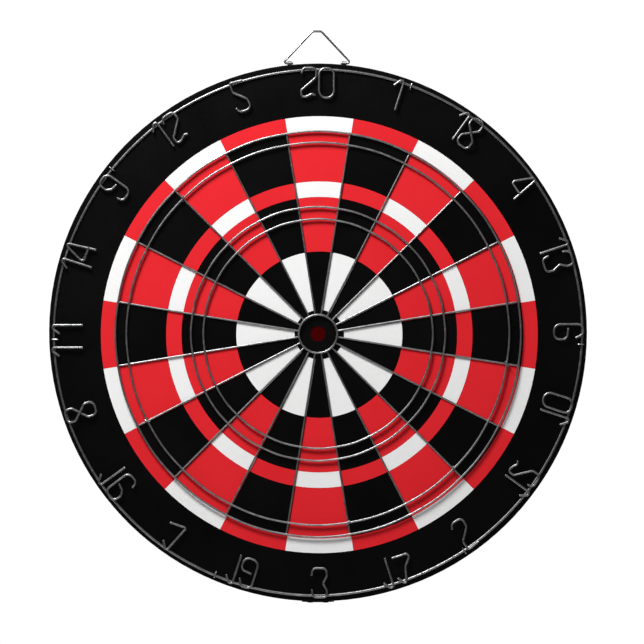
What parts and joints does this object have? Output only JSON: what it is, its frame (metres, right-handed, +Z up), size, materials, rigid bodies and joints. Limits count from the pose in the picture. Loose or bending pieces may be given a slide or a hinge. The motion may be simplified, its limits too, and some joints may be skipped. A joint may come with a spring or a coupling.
{
  "type": "dartboard",
  "caption": "Round wall dartboard with a wound-paper core, printed face, welded wire spider, wire number ring and a swinging wire hanging bail.",
  "frame": {"origin": "centre of the flat back, in its plane", "axes": "+Z up towards the hanging bail, +Y out of the back towards the wall, the face looks along -Y, +X to the right seen from the front"},
  "size_m": [0.451, 0.025, 0.4816],
  "materials": {
    "wound_paper": "matt wound paper strip, edge-on",
    "bull_plug": "matt wound paper",
    "bull_red": "matt printed paper, dark red",
    "face_black": "matt printed paper, black",
    "print_red": "matt printed ink, bright red",
    "print_white": "matt printed ink, white",
    "back_card": "matt card, near black",
    "hoop_paint": "satin black paint",
    "rivet_steel": "dark plated steel",
    "spider_wire": "drawn galvanised wire",
    "number_wire": "drawn galvanised wire",
    "staple_wire": "bright drawn wire",
    "eye_steel": "bright plated strip",
    "bail_wire": "bright drawn wire"
  },
  "bodies": {
    "board": {"paper_core": "wound_paper", "bull_plug": "bull_plug", "bull_disc": "bull_red", "face_card": "face_black", "print_red": "print_red", "print_white": "print_white", "back_card": "back_card", "rim_hoop": "hoop_paint", "rim_rivets": "rivet_steel", "spider_spokes": "spider_wire", "spider_bull_ring": "spider_wire", "spider_treble_inner_ring": "spider_wire", "spider_treble_outer_ring": "spider_wire", "spider_double_inner_ring": "spider_wire", "spider_double_outer_ring": "spider_wire", "spider_staples": "staple_wire", "number_ring": "number_wire", "number_ring_staples": "staple_wire", "number_20": "number_wire", "number_1": "number_wire", "number_18": "number_wire", "number_4": "number_wire", "number_13": "number_wire", "number_6": "number_wire", "number_10": "number_wire", "number_15": "number_wire", "number_2": "number_wire", "number_17": "number_wire", "number_3": "number_wire", "number_19": "number_wire", "number_7": "number_wire", "number_16": "number_wire", "number_8": "number_wire", "number_11": "number_wire", "number_14": "number_wire", "number_9": "number_wire", "number_12": "number_wire", "number_5": "number_wire", "hanger_eyes": "eye_steel"},
    "bail": {"hanger_bail": "bail_wire"}
  },
  "joints": [
    {"name": "bail_swing", "type": "hinge", "parent": "board", "child": "bail", "pos_m": [-0.0009, -0.004, 0.2266], "axis": [1, 0, 0], "range_deg": [-94, 86]}
  ]
}
